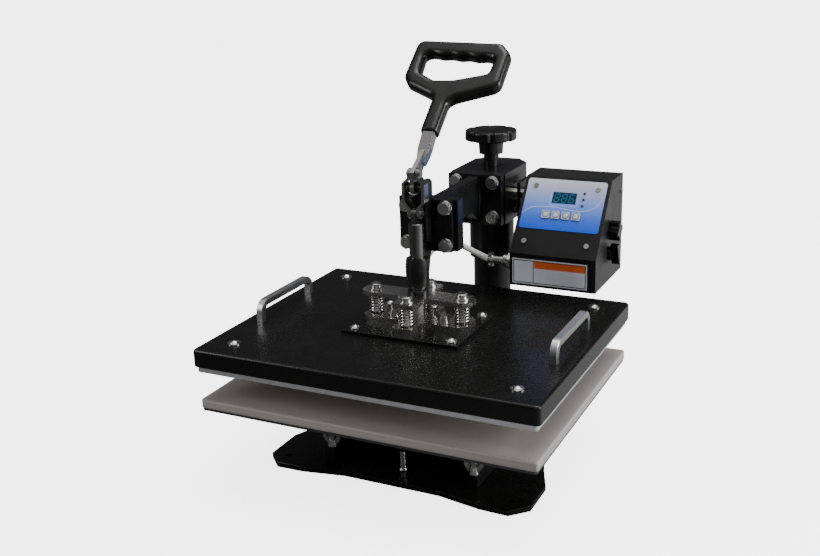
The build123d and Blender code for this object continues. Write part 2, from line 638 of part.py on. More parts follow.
def cover():
    half_x, half_y = PLATEN_X / 2 + COVER_RIM, PLATEN_Y / 2 + COVER_RIM
    shell = Pos(0, PLATEN_CY, (COVER_Z + COVER_TOP) / 2) * Box(2 * half_x, 2 * half_y, COVER_T)
    shell = fillet(shell.edges().filter_by(Axis.Z), 5.0)
    shell = fillet(shell.edges().group_by(Axis.Z)[-1], 3.2)
    shell -= Pos(0, PLATEN_CY, (COVER_Z + COVER_TOP - SHEET) / 2 - 1) * Box(
        2 * (half_x - SHEET), 2 * (half_y - SHEET), COVER_T - SHEET + 2)
    for x, y, z in dome_places()[4:]:
        shell -= rod(2.0, (x, y, z - SHEET - 1), (x, y, z + 1))
    return shell - rod(CABLE_R + 1.2, (*CABLE_IN, COVER_TOP - SHEET - 1), (*CABLE_IN, COVER_TOP + 1))


def platen_handle(side):
    """Bent square bar standing on the cover, rounded at its two bends."""
    x = side * HANDLE_X
    y0, y1 = PLATEN_CY - HANDLE_Y - 4, PLATEN_CY + HANDLE_Y + 4
    outline = [(y0, COVER_TOP), (y0, COVER_TOP + HANDLE_H), (y1, COVER_TOP + HANDLE_H), (y1, COVER_TOP),
               (y1 - 7, COVER_TOP), (y1 - 7, COVER_TOP + HANDLE_H - 7), (y0 + 7, COVER_TOP + HANDLE_H - 7),
               (y0 + 7, COVER_TOP)]
    bar = slab_yz(outline, (x - 4, x + 4))
    for height, radius in ((HANDLE_H, 14.0), (HANDLE_H - 7, 7.0)):
        bends = [e for e in bar.edges().filter_by(Axis.X) if abs(e.center().Z - COVER_TOP - height) < 0.1]
        bar = fillet(bends, radius)
    return chamfer(bar.edges().group_by(Axis.Z)[-1].filter_by(Axis.Y), 0.6)


def heater_plate():
    plate = Pos(0, PLATEN_CY, (HEATER_Z + HEATER_TOP) / 2) * Box(PLATEN_X, PLATEN_Y, HEATER_TOP - HEATER_Z)
    plate = fillet(plate.edges().filter_by(Axis.Z), 3.0)
    return chamfer(plate.edges().group_by(Axis.Z)[0], 0.6)


def insulation():
    """Mat between the heater plate and the cover, cleared round the screws and the cable."""
    half_x, half_y = PLATEN_X / 2 - 2, PLATEN_Y / 2 - 2
    y = (PLATEN_CY - half_y, PLATEN_CY + half_y)
    mat = block((-half_x, half_x), y, (HEATER_TOP, COVER_TOP - SHEET - 0.4))
    mat -= rod(CABLE_R + 1.6, (*CABLE_IN, HEATER_TOP + 3), (*CABLE_IN, COVER_TOP))
    for x, y, z in dome_places()[4:]:
        mat -= rod(3.0, (x, y, z - 4), (x, y, z))
    return mat


def build_platen():
    save("spring_bolts", *[spring_bolt(x, y) for x, y in spring_places()])
    save("springs", *[coil_spring(x, y, LOWER_CROSS_TOP, UPPER_CROSS_Z) for x, y in spring_places()])
    save("lower_cross", lower_cross())
    save("mount_plate", mount_plate())
    for (x, y), word in zip(CROSS_STUDS, ("left", "right")):
        save(f"cross_wing_nut_{word}", wing_nut(x, y, LOWER_CROSS_TOP + GAP, 3.0 + RUN))
    sizes = [(5.8, 4.7)] * 4 + [(7.0, 5.2)] * 4
    save("dome_screws", *[dome_screw(*place, *size) for place, size in zip(dome_places(), sizes)])
    save("platen_cover", cover())
    save("platen_handles", *[platen_handle(side) for side in (-1, 1)])
    save("insulation", insulation())
    save("heater_plate", heater_plate())


# Control box

SLOPE_LEN = math.dist((CASE_Y[0], CASE_LIP_Z), (CASE_TOP_Y, CASE_Z[1]))
SLOPE = Plane(origin=(CASE_X[0], CASE_Y[0], CASE_LIP_Z), x_dir=(1, 0, 0),
              z_dir=(0, -(CASE_Z[1] - CASE_LIP_Z), CASE_TOP_Y - CASE_Y[0]))
PANEL_U, PANEL_V = (3.8, 98.4), (31.9, 95.2)
DISPLAY_U, DISPLAY_V = (34.4, 67.4), (62.6, 82.0)
LED_U, LED_V = 73.9, (64.2, 72.0, 79.6)
BUTTON_U, BUTTON_V = (33.2, 45.2, 57.2, 69.2), 50.3
BUTTON_SIZE = 9.2
OVERLAY_T = 0.6
SLOPE_SCREWS = [(14.4, 85.9), (88.6, 85.9), (14.4, 15.8), (88.6, 15.8)]
SIDE_SCREWS = [(7.5, 268.5), (5.0, 192.5)]
SWITCH_YZ = (-38.0, 204.5)
FUSE_YZ = (-36.5, 232.0)
PLUG_YZ = (-84.0, 197.5)
INLET_Y, INLET_Z = 55.0, 200.0


def slope_block(u, v, w):
    """Box on the sloping face: u across, v up the slope and w out of it."""
    return SLOPE * block(u, v, w)


def slope_rod(radius, u, v, w):
    return SLOPE * rod(radius, (u, v, w[0]), (u, v, w[1]))


def case_outline(inset):
    """Side profile of the case, moved inwards by inset."""
    slope = math.atan2(CASE_Z[1] - CASE_LIP_Z, CASE_TOP_Y - CASE_Y[0])
    lip = inset * math.tan((math.pi / 2 - slope) / 2)
    brow = inset * math.tan(slope / 2)
    return [(CASE_Y[0] + inset, CASE_Z[0] + inset), (CASE_Y[0] + inset, CASE_LIP_Z - lip),
            (CASE_TOP_Y + brow, CASE_Z[1] - inset), (CASE_Y[1] - inset, CASE_Z[1] - inset),
            (CASE_Y[1] - inset, CASE_Z[0] + inset)]


def control_front():
    """Bent front sheet: the upright lower face and the sloping face."""
    outer, inner = case_outline(0), case_outline(SHEET)
    sheet = slab_yz(outer[:3] + inner[2::-1], (CASE_X[0] + SHEET, CASE_X[1] - SHEET))
    sheet -= slope_block(DISPLAY_U, DISPLAY_V, (-3, 1))
    for u in BUTTON_U:
        half = BUTTON_SIZE / 2 + GAP
        sheet -= slope_block((u - half, u + half), (BUTTON_V - half, BUTTON_V + half), (-3, 1))
    for v in LED_V:
        sheet -= slope_rod(1.6, LED_U, v, (-3, 1))
    for u, v in SLOPE_SCREWS:
        sheet -= slope_rod(1.5, u, v, (-3, 1))
    return sheet


def control_case():
    """Sides, back, top and bottom of the box; the front sheet closes it."""
    shell = slab_yz(case_outline(0), CASE_X)
    shell = chamfer(shell.edges().filter_by(Axis.X), 0.5)
    room = slab_yz(case_outline(SHEET), (CASE_X[0] + SHEET, CASE_X[1] - SHEET))
    outer, inner = case_outline(0), case_outline(SHEET)
    front, under, over = CASE_Y[0] - 5, CASE_Z[0] - 5, CASE_Z[1] + 5
    mouth = slab_yz([(front, under), (inner[0][0], under)] + inner[0:3]
                    + [(inner[2][0], over), (outer[2][0] - 40, over), (front, outer[1][1])],
                    (CASE_X[0] + SHEET, CASE_X[1] - SHEET))
    shell = shell - room - mouth
    x = CASE_X[1]
    for y, z in (SWITCH_YZ, FUSE_YZ):
        shell -= rod(4.0, (x - 3, y, z), (x + 1, y, z))
    for y, z in SIDE_SCREWS:
        shell -= rod(1.5, (x - 3, y, z), (x + 1, y, z))
    shell -= rod(5.7, (CASE_X[0] - 1, *PLUG_YZ), (CASE_X[0] + 3, *PLUG_YZ))
    shell -= block(inlet_x(), (CASE_Y[1] - 3, CASE_Y[1] + 1), inlet_z())
    return shell


def inlet_x():
    middle = CASE_X[0] + INLET_Y
    return middle - 13.5, middle + 13.5


def inlet_z():
    return INLET_Z - 10.0, INLET_Z + 10.0


def mains_inlet():
    """Flush appliance inlet in the back: flange, recess and three flat pins."""
    x, z = inlet_x(), inlet_z()
    back = CASE_Y[1]
    body = block((x[0] - 4, x[1] + 4), (back, back + 2.5), (z[0] - 4, z[1] + 4))
    body += block(x, (back - 17, back), z)
    body -= block((x[0] + 2, x[1] - 2), (back - 14, back + 3), (z[0] + 2, z[1] - 2))
    middle = (x[0] + x[1]) / 2
    for dx, dz in ((-7, -3), (0, 2), (7, -3)):
        pin_x, pin_z = (middle + dx - 1, middle + dx + 1), (INLET_Z + dz - 2, INLET_Z + dz + 2)
        body += block(pin_x, (back - 15, back - 3), pin_z)
    return body


def panel_overlay():
    sheet = slope_block(PANEL_U, PANEL_V, (0, OVERLAY_T))
    upright = sheet.edges().filter_by(Axis((0, 0, 0), SLOPE.z_dir))
    sheet = fillet(upright, 3.0)
    sheet -= slope_block(DISPLAY_U, DISPLAY_V, (-1, 2))
    for u in BUTTON_U:
        half = BUTTON_SIZE / 2 + GAP
        sheet -= slope_block((u - half, u + half), (BUTTON_V - half, BUTTON_V + half), (-1, 2))
    for v in LED_V:
        sheet -= slope_rod(1.6, LED_U, v, (-1, 2))
    for u, v in SLOPE_SCREWS[:2]:
        sheet -= slope_rod(3.2, u, v, (-1, 2))
    return sheet


def case_screws():
    screws = []
    for u, v in SLOPE_SCREWS:
        head = slope_rod(3.0, u, v, (0, 1.6)) - slope_block((u - 2, u + 2), (v - 0.4, v + 0.4), (1.0, 2))
        screws.append(head + slope_rod(1.5, u, v, (-1.5, 0)))
    x = CASE_X[1]
    for y, z in SIDE_SCREWS:
        screws.append(rod(3.0, (x, y, z), (x + 1.6, y, z)) + rod(1.5, (x - 1.5, y, z), (x, y, z)))
    return screws


def circuit_board():
    """Board behind the sloping face, with the display's body and the buttons' switches."""
    board = slope_block((10, 92), (40, 94), (-10.0, -8.4))
    u, v = (DISPLAY_U[0] + 0.5, DISPLAY_U[1] - 0.5), (DISPLAY_V[0] + 0.5, DISPLAY_V[1] - 0.5)
    board += slope_block(u, v, (-8.4, -2.0))
    for u in BUTTON_U:
        board += slope_block((u - 3, u + 3), (BUTTON_V - 3, BUTTON_V + 3), (-8.4, -5.4))
    return board


def push_button(u):
    half = BUTTON_SIZE / 2
    cap = slope_block((u - half, u + half), (BUTTON_V - half, BUTTON_V + half), (-1.2, 2.0))
    cap = fillet(cap.edges().filter_by(Axis((0, 0, 0), SLOPE.z_dir)), 1.2)
    dish = SLOPE * (Pos(u, BUTTON_V, 2.0 + 11.4) * Sphere(12.0))
    return cap - dish + slope_rod(1.5, u, BUTTON_V, (-4.4, -1.2))


def switch_knob():
    """Pointer knob on the right side: a round skirt and a bar that points."""
    x, (y, z) = CASE_X[1] + GAP, SWITCH_YZ
    skirt = rod(8.0, (x, y, z), (x + 3.5, y, z))
    bar = Pos(x + 7.5, y, z) * Rot(20, 0, 0) * (Pos(0, 0, 1.0) * Box(9.0, 7.5, 25.0))
    bar = chamfer(bar.edges().group_by(Axis.Z)[-1], 1.5)
    return skirt + bar + rod(3.9, (x - 5, y, z), (x, y, z))


def fuse_cap():
    """Bayonet cap with four gripping lobes."""
    x, (y, z) = CASE_X[1] + GAP, FUSE_YZ
    cap = rod(7.2, (x, y, z), (x + 12, y, z))
    for turn in (0, 90):
        lobe = Pos(x + 6, y, z) * Rot(turn + 10, 0, 0) * Box(12.0, 22.0, 6.6)
        cap += chamfer(lobe.edges().group_by(Axis.X)[-1], 1.0)
    return cap + rod(3.9, (x - 12, y, z), (x, y, z))


# Heater cable. It leaves the plug at the box's left side, runs under the beam and drops
# behind the boss through a grommet in the platen's cover.

CABLE_R = 3.5
PLUG_END = 30.0
CABLE_ROUTE = [(PLUG_END, -84, 197.5), (9, -88, 207), (-5, -102, 220.5), (-19.5, -122, 220),
               (-29.3, -138.5, 205), (*CABLE_IN, 183), (*CABLE_IN, COVER_TOP + 1.5)]


def corner_radius(before, corner, after):
    """Largest arc that two neighbouring runs leave room for."""
    runs = (corner - before).length, (after - corner).length
    turn = math.radians((corner - before).get_angle(after - corner))
    return 0.45 * min(runs) / math.tan(turn / 2)


def heater_cable():
    points = [Vector(*p) for p in CABLE_ROUTE]
    radii = [corner_radius(*points[i - 1:i + 2]) for i in range(1, len(points) - 1)]
    path = FilletPolyline(*points, radius=radii)
    profile = Plane(origin=path @ 0, z_dir=path % 0) * Circle(CABLE_R)
    cable = sweep(profile, path=path)
    expected = math.pi * CABLE_R ** 2 * path.length
    print("cable radii", [round(r, 1) for r in radii], "length", round(path.length, 1),
          "volume ratio", round(cable.volume / expected, 4))
    return cable


def heater_plug():
    """Round metal plug in a flanged socket, with its cable clamp and two clamp screws."""
    y, z = PLUG_YZ
    wall = CASE_X[0]
    socket = hexagon((wall, y, z), (-1, 0, 0), 5.0, 17.0, 3.5)
    socket += ring(5.7, 5.0, (wall, y, z), (wall + 8, y, z))
    shell = ring(7.4, 5.0, (wall - 3.5, y, z), (wall - 9, y, z))
    shell += rod(5.0, (wall + 6, y, z), (wall - 12, y, z))
    barrel = rod(4.4, (wall - 12, y, z), (PLUG_END, y, z))
    barrel += ring(5.2, 3.0, (PLUG_END + 6, y, z), (PLUG_END, y, z))
    clamp = block((PLUG_END, PLUG_END + 5), (y - 3.4, y + 3.4), (z - 8, z + 8))
    screws = rod(1.4, (PLUG_END + 2.5, y - 5, z + 6.3), (PLUG_END + 2.5, y + 5, z + 6.3))
    screws += rod(1.4, (PLUG_END + 2.5, y - 5, z - 6.3), (PLUG_END + 2.5, y + 5, z - 6.3))
    return socket + shell + barrel + clamp + screws


def cable_grommet():
    low, high = COVER_TOP - SHEET - 1.5, COVER_TOP + 9.0
    sleeve = ring(CABLE_R + 2.6, CABLE_R + GAP, (*CABLE_IN, COVER_TOP), (*CABLE_IN, high))
    sleeve = chamfer(sleeve.edges().group_by(Axis.Z)[-1].sort_by(SortBy.LENGTH)[-1], 1.2)
    neck = ring(CABLE_R + 1.2, CABLE_R + GAP, (*CABLE_IN, low), (*CABLE_IN, COVER_TOP))
    return sleeve + neck


def build_control_box():
    save("control_case", control_case())
    save("control_front", control_front())
    save("panel_overlay", panel_overlay())
    save("display_window", slope_block(DISPLAY_U, DISPLAY_V, (-1.5, 0.4)))
    save("circuit_board", circuit_board())
    save("indicator_leds", *[slope_rod(1.5, LED_U, v, (-8.4, 0.9)) for v in LED_V])
    front = CASE_Y[0]
    save("label_plate", block((CASE_X[0] + 3.8, CASE_X[0] + 92.8), (front - 0.6, front), (174.8, 204.6)))
    save("case_screws", *case_screws())
    save("mains_inlet", mains_inlet())
    for i, u in enumerate(BUTTON_U, start=1):
        save(f"button_{i}", push_button(u))
    save("switch_knob", switch_knob())
    save("fuse_cap", fuse_cap())
    save("heater_plug", heater_plug())
    save("heater_cable", heater_cable())
    save("cable_grommet", cable_grommet())


os.makedirs("parts", exist_ok=True)
build_base()
build_head()
build_adjuster()
build_lever()
build_yoke()
build_ram()
build_platen()
build_control_box()
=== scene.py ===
import math

import bmesh
import bpy
from mathutils import Matrix, Vector


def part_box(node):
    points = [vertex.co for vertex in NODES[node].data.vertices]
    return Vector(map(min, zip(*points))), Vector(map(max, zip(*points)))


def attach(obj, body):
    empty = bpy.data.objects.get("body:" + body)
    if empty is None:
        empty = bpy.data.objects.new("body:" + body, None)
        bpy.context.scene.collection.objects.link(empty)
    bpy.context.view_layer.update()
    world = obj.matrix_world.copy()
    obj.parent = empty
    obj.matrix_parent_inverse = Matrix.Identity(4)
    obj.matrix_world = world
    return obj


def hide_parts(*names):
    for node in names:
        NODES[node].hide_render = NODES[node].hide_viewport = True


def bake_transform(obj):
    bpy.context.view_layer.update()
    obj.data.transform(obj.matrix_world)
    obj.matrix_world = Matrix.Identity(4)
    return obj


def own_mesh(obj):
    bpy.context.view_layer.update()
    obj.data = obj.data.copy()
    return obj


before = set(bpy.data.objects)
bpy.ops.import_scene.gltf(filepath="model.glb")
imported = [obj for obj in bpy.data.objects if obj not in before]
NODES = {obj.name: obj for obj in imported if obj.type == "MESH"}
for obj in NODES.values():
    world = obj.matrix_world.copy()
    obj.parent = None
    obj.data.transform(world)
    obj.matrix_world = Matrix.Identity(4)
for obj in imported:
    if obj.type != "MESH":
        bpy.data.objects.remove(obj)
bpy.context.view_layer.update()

# Places shared with the CAD, in metres
LOW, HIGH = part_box("pressing_pad")
PLATEN_Y = (LOW.y + HIGH.y) / 2
SLOPE_RISE, SLOPE_RUN = 0.0782, 0.0596               # the control box's face, from lip to top
SLOPE_ANGLE = math.atan2(SLOPE_RISE, SLOPE_RUN)
SLOPE_ORIGIN = Vector((0.0585, -0.0913, 0.2105))     # lower left corner of that face
SLOPE_U = Vector((1, 0, 0))
SLOPE_V = Vector((0, math.cos(SLOPE_ANGLE), math.sin(SLOPE_ANGLE)))
SLOPE_N = Vector((0, -math.sin(SLOPE_ANGLE), math.cos(SLOPE_ANGLE)))


# The film on that face and the dark part of the display window, across and up the slope
FILM_FOOT, FILM_TOP = 0.0319, 0.0952
GLASS_U, GLASS_V = (0.0368, 0.0652), (0.0654, 0.0795)


# Shader building blocks

class Shader:
    """A node material whose texture space is the model's own frame, in metres."""

    def __init__(self, name, color=(0.5, 0.5, 0.5), rough=0.4, metal=0.0, **sockets):
        self.mat = bpy.data.materials.new(name)
        self.mat.use_nodes = True
        self.mat.diffuse_color = (*color, 1)
        self.tree = self.mat.node_tree
        self.bsdf = self.tree.nodes["Principled BSDF"]
        self.bsdf.inputs["Base Color"].default_value = (*color, 1)
        self.bsdf.inputs["Roughness"].default_value = rough
        self.bsdf.inputs["Metallic"].default_value = metal
        for key, value in sockets.items():
            self.bsdf.inputs[key.replace("_", " ")].default_value = value
        self.object_space = self.add("ShaderNodeTexCoord").outputs["Object"]

    def add(self, kind, inputs=None, **settings):
        node = self.tree.nodes.new(kind)
        for key, value in settings.items():
            setattr(node, key, value)
        for key, value in (inputs or {}).items():
            self.put(node.inputs[key], value)
        return node

    def put(self, socket, value):
        if isinstance(value, bpy.types.NodeSocket):
            self.tree.links.new(value, socket)
        else:
            socket.default_value = value

    def math(self, operation, a, b=0.0):
        node = self.add("ShaderNodeMath", operation=operation)
        for socket, value in zip(node.inputs, (a, b)):
            self.put(socket, value)
        return node.outputs[0]

    def scaled(self, scale):
        """Frame coordinates times a scale for each axis."""
        node = self.add("ShaderNodeMapping", {"Vector": self.object_space, "Scale": scale})
        return node.outputs[0]

    def noise(self, scale, stretch=(1, 1, 1), detail=3.0, rough=0.5):
        node = self.add("ShaderNodeTexNoise", {"Vector": self.scaled(stretch), "Scale": scale,
                                               "Detail": detail, "Roughness": rough})
        return node.outputs["Fac"]

    def voronoi(self, scale, stretch=(1, 1, 1)):
        node = self.add("ShaderNodeTexVoronoi", {"Vector": self.scaled(stretch), "Scale": scale})
        return node.outputs["Distance"]

    def remap(self, value, low, high, out_low, out_high):
        node = self.add("ShaderNodeMapRange", {"Value": value, "From Min": low, "From Max": high,
                                               "To Min": out_low, "To Max": out_high})
        return node.outputs[0]

    def ramp(self, value, *stops):
        """Colour ramp; each stop is a position and a colour."""
        node = self.add("ShaderNodeValToRGB", {"Fac": value})
        elements = node.color_ramp.elements
        while len(elements) < len(stops):
            elements.new(0.5)
        for element, (position, color) in zip(elements, stops):
            element.position = position
            element.color = (*color, 1)
        return node.outputs["Color"]

    def mix(self, factor, a, b):
        node = self.add("ShaderNodeMix", data_type="RGBA")
        self.put(node.inputs[0], factor)
        for socket, value in ((node.inputs[6], a), (node.inputs[7], b)):
            self.put(socket, value if isinstance(value, bpy.types.NodeSocket) else (*value, 1))
        return node.outputs[2]

    def along(self, direction, origin=(0, 0, 0)):
        """Distance along a direction from an origin, in metres."""
        offset = self.add("ShaderNodeVectorMath", {0: self.object_space, 1: origin},
                          operation="SUBTRACT")
        dot = self.add("ShaderNodeVectorMath", {0: offset.outputs[0], 1: direction},
                       operation="DOT_PRODUCT")
        return dot.outputs["Value"]

    def color(self, value):
        self.put(self.bsdf.inputs["Base Color"], value)

    def rough(self, value):
        self.put(self.bsdf.inputs["Roughness"], value)

    def bump(self, *heights):
        """Each height is a value, a depth in metres and a strength."""
        normal = None
        for value, depth, strength in heights:
            node = self.add("ShaderNodeBump", {"Height": value, "Distance": depth,
                                               "Strength": strength})
            if normal is not None:
                self.put(node.inputs["Normal"], normal)
            normal = node.outputs[0]
        self.put(self.bsdf.inputs["Normal"], normal)


def painted_metal(name, color, rough, grain, spread, depth, coat=0.0):
    """Baked paint: fine orange peel, faint dust and rubbed patches."""
    s = Shader(name, color, rough, Coat_Weight=coat, Coat_Roughness=0.12, Specular_IOR_Level=0.28)
    peel = s.noise(grain, detail=2.0)
    wear = s.noise(38, detail=6.0, rough=0.6)
    dust = s.noise(420, detail=2.0)
    lighter = tuple(min(1.0, c * 2.1 + 0.003) for c in color)
    s.color(s.mix(s.remap(wear, 0.50, 0.80, 0.0, 0.30), color, lighter))
    worn = s.remap(wear, 0.3, 0.7, rough - spread, rough + spread)
    s.rough(s.math("ADD", worn, s.remap(dust, 0.4, 0.7, 0, 0.04)))
    s.bump((peel, depth, 0.5))
    return s.mat


def bright_metal(name, color, rough, grain=(1, 1, 1), scale=900, spread=0.08, depth=0.00003):
    """Plated or machined metal with a direction to its grain, handling marks and a dull bloom."""
    s = Shader(name, color, rough, 1.0)
    lines = s.noise(scale, grain, detail=3.0, rough=0.6)
    bloom = s.noise(90, detail=5.0, rough=0.65)
    darker = tuple(c * 0.72 for c in color)
    s.color(s.mix(s.remap(bloom, 0.4, 0.75, 0.0, 0.8), color, darker))
    brushed = s.remap(lines, 0.3, 0.7, rough - spread, rough + spread)
    s.rough(s.math("ADD", brushed, s.remap(bloom, 0.4, 0.8, 0, 0.1)))
    s.bump((lines, depth, 0.35))
    return s.mat


def moulded(name, color, rough, grain=1300, depth=0.00006):
    """Moulded plastic with a leathery grain."""
    s = Shader(name, color, rough, Specular_IOR_Level=0.35)
    cells = s.voronoi(grain)
    wear = s.noise(60, detail=5.0)
    s.color(s.mix(s.remap(wear, 0.45, 0.8, 0, 0.5), color, tuple(c * 1.6 + 0.001 for c in color)))
    s.rough(s.remap(wear, 0.3, 0.75, rough - 0.06, rough + 0.08))
    s.bump((cells, depth, 0.5))
    return s.mat


def plated(name, color, rough):
    """Zinc plating with a cloudy bloom."""
    s = Shader(name, color, rough, 1.0)
    bloom = s.noise(160, detail=5.0, rough=0.6)
    fine = s.noise(1500, detail=2.0)
    s.color(s.mix(s.remap(bloom, 0.4, 0.75, 0.0, 1.0), color, tuple(c * 0.68 for c in color)))
    s.rough(s.remap(bloom, 0.3, 0.75, rough - 0.06, rough + 0.16))
    s.bump((fine, 0.00001, 0.2))
    return s.mat


POWDER = painted_metal("powder_coat", (0.0075, 0.0076, 0.0080), 0.30, 1500, 0.06, 0.00004)
CASE_BLACK = painted_metal("case_texture_coat", (0.0095, 0.0094, 0.0092), 0.38, 1100, 0.04, 0.00008)
GLOSS = painted_metal("gloss_enamel", (0.0042, 0.0042, 0.0038), 0.26, 500, 0.02, 0.000006)
BASE_BLACK = painted_metal("base_enamel", (0.0050, 0.0052, 0.0045), 0.26, 900, 0.05, 0.00004,
                           coat=0.1)
ZINC = plated("bright_zinc", (0.52, 0.52, 0.505), 0.24)
SPRING_WIRE = bright_metal("spring_wire", (0.46, 0.455, 0.44), 0.17, scale=1200, spread=0.06)
CHROME = bright_metal("satin_chrome", (0.60, 0.58, 0.565), 0.23, scale=500, spread=0.05,
                      depth=0.00001)
NICKEL = bright_metal("satin_nickel", (0.36, 0.355, 0.34), 0.22, grain=(1, 1, 0.06), scale=2200)
RAM_STEEL = bright_metal("ground_steel", (0.17, 0.165, 0.155), 0.20, grain=(1, 1, 8), scale=500,
                         spread=0.05)
HANDLE = bright_metal("brushed_aluminium", (0.50, 0.505, 0.51), 0.33, grain=(1, 0.04, 1),
                      scale=2400)
HEATER = bright_metal("cast_aluminium", (0.86, 0.87, 0.88), 0.38, grain=(0.15, 0.15, 1), scale=1400)
SUPPORT = bright_metal("blued_steel", (0.10, 0.10, 0.105), 0.42, scale=600)
BRONZE = bright_metal("bush_steel", (0.10, 0.095, 0.09), 0.3, grain=(1, 1, 6), scale=700)
GRIP = moulded("grip_plastic", (0.0055, 0.0055, 0.0048), 0.27)
KNOB = moulded("knob_plastic", (0.0050, 0.0050, 0.0048), 0.27, grain=1700, depth=0.00003)
BOARD = moulded("board_lacquer", (0.03, 0.16, 0.06), 0.4)


def felt():
    """Fibrous insulation board."""
    s = Shader("insulation_felt", (0.62, 0.60, 0.53), 0.95)
    fibres = s.noise(900, (1, 1, 3), detail=5.0, rough=0.7)
    s.color(s.ramp(fibres, (0.3, (0.40, 0.38, 0.32)), (0.7, (0.72, 0.70, 0.62))))
    s.bump((fibres, 0.0004, 0.6))
    return s.mat


def sponge():
    """Silicone sponge, speckled, with open cells; faces turned up are painted darker than the sides
    as painted shade under the plate above.
    """
    s = Shader("sponge_rubber", (0.1, 0.09, 0.085), 0.82, Sheen_Weight=0.12, Sheen_Roughness=0.5)
    speck = s.noise(1600, detail=4.0, rough=0.7)
    cloud = s.noise(22, detail=4.0)
    cells = s.voronoi(1500)
    normal = s.add("ShaderNodeNewGeometry").outputs["Normal"]
    up = s.add("ShaderNodeSeparateXYZ", {0: normal}).outputs["Z"]
    # Painted shade: this darker ramp goes on faces turned up, the paler one below on the sides
    top = s.ramp(speck, (0.30, (0.19, 0.169, 0.156)), (0.52, (0.26, 0.234, 0.217)),
                 (0.75, (0.35, 0.322, 0.302)))
    top = s.mix(s.remap(cloud, 0.35, 0.7, 0.0, 0.35), top, (0.205, 0.182, 0.169))
    side = s.ramp(speck, (0.3, (0.27, 0.25, 0.238)), (0.7, (0.42, 0.395, 0.378)))
    s.color(s.mix(s.remap(up, 0.45, 0.8, 1.0, 0.0), top, side))
    s.bump((cells, 0.0003, 0.45), (speck, 0.0001, 0.4))
    return s.mat


def film_tint(s, v):
    """Print that runs from pale grey at the top of the film to a strong blue at its foot."""
    height = s.remap(v, FILM_FOOT, FILM_TOP, 0.0, 1.0)
    return s.ramp(height, (0.0, (0.012, 0.105, 0.82)), (0.22, (0.05, 0.17, 0.86)),
                  (0.5, (0.20, 0.33, 0.88)), (0.78, (0.46, 0.51, 0.76)), (1.0, (0.70, 0.71, 0.78)))


def overlay_film():
    """Printed film round the keys and the display."""
    s = Shader("panel_film", (0.4, 0.5, 0.7), 0.30, Coat_Weight=0.15, Coat_Roughness=0.12,
               Specular_IOR_Level=0.25)
    peel = s.noise(500, detail=2.0)
    s.color(film_tint(s, s.along(SLOPE_V, SLOPE_ORIGIN)))
    s.rough(s.remap(peel, 0.3, 0.7, 0.26, 0.36))
    s.bump((peel, 0.00002, 0.3))
    return s.mat


def label_film():
    """Plain plate: pale field in a thin dark frame, a divider and a warm strip at the top right."""
    s = Shader("label_film", (0.7, 0.71, 0.73), 0.42, Specular_IOR_Level=0.3)
    low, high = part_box("label_plate")
    aspect, margin, frame_edge = 2.99, 0.04, 0.075
    divider_u, divider_half, strip_u, strip_v = 0.285, 0.005, 0.295, 0.66
    u = s.remap(s.along((1, 0, 0)), low.x, high.x, 0.0, 1.0)
    v = s.remap(s.along((0, 0, 1)), low.z, high.z, 0.0, 1.0)
    edge_u = s.math("MINIMUM", u, s.math("SUBTRACT", 1.0, u))
    edge_v = s.math("MINIMUM", v, s.math("SUBTRACT", 1.0, v))
    edge = s.math("MINIMUM", s.math("MULTIPLY", edge_u, aspect), edge_v)
    grain = s.noise(700, detail=3.0)
    field = s.ramp(grain, (0.3, (0.78, 0.80, 0.90)), (0.7, (0.86, 0.88, 0.96)))
    inside = s.math("GREATER_THAN", edge, frame_edge)
    strip = s.math("MULTIPLY", s.math("GREATER_THAN", v, strip_v),
                   s.math("GREATER_THAN", u, strip_u))
    field = s.mix(s.math("MULTIPLY", strip, inside), field, (0.90, 0.15, 0.03))
    from_divider = s.math("ABSOLUTE", s.math("SUBTRACT", u, divider_u))
    divider = s.math("LESS_THAN", from_divider, divider_half)
    frame_line = s.math("MULTIPLY", s.math("GREATER_THAN", edge, margin),
                        s.math("LESS_THAN", edge, frame_edge))
    dark = s.math("MAXIMUM", frame_line, s.math("MULTIPLY", divider, inside))
    s.color(s.mix(dark, field, (0.02, 0.02, 0.022)))
    s.rough(s.remap(grain, 0.3, 0.7, 0.36, 0.48))
    s.bump((grain, 0.00002, 0.3))
    return s.mat


def display_glass():
    """Window printed like the film round its edge, with a dark filter in the middle."""
    s = Shader("display_filter", (0.004, 0.035, 0.045), 0.25, Specular_IOR_Level=0.25)
    u, v = s.along(SLOPE_U, SLOPE_ORIGIN), s.along(SLOPE_V, SLOPE_ORIGIN)
    dots = s.noise(900, detail=2.0)
    dark = s.ramp(dots, (0.3, (0.003, 0.022, 0.060)), (0.7, (0.004, 0.030, 0.078)))
    inside = []
    for value, (low, high) in ((u, GLASS_U), (v, GLASS_V)):
        middle, half = (low + high) / 2, (high - low) / 2
        from_middle = s.math("ABSOLUTE", s.math("SUBTRACT", value, middle))
        inside.append(s.math("LESS_THAN", from_middle, half))
    s.color(s.mix(s.math("MULTIPLY", *inside), film_tint(s, v), dark))
    s.bump((dots, 0.00001, 0.2))
    return s.mat


def small_print(name, color, glow=0.0):
    """Ink or tinted plastic of the panel's small marks, or the dark of painted shade, with a glow
    of its own where it is lit.
    """
    s = Shader(name, color, 0.35)
    mottled = s.noise(1200, detail=2.0)
    s.color(s.mix(s.remap(mottled, 0.3, 0.7, 0, 0.3), color, tuple(c * 0.6 for c in color)))
    s.bsdf.inputs["Emission Color"].default_value = (*color, 1)
    s.bsdf.inputs["Emission Strength"].default_value = glow
    return s.mat


def braided_sleeve():
    """Glass-fibre braid over the cable."""
    s = Shader("cable_braid", (0.68, 0.68, 0.66), 0.7, Sheen_Weight=0.2)
    weave = s.voronoi(900, (1, 1, 1.8))
    soil = s.noise(120, detail=4.0)
    s.color(s.mix(s.remap(soil, 0.4, 0.75, 0, 0.7), (0.74, 0.74, 0.72), (0.42, 0.41, 0.39)))
    s.bump((weave, 0.0004, 0.6))
    return s.mat


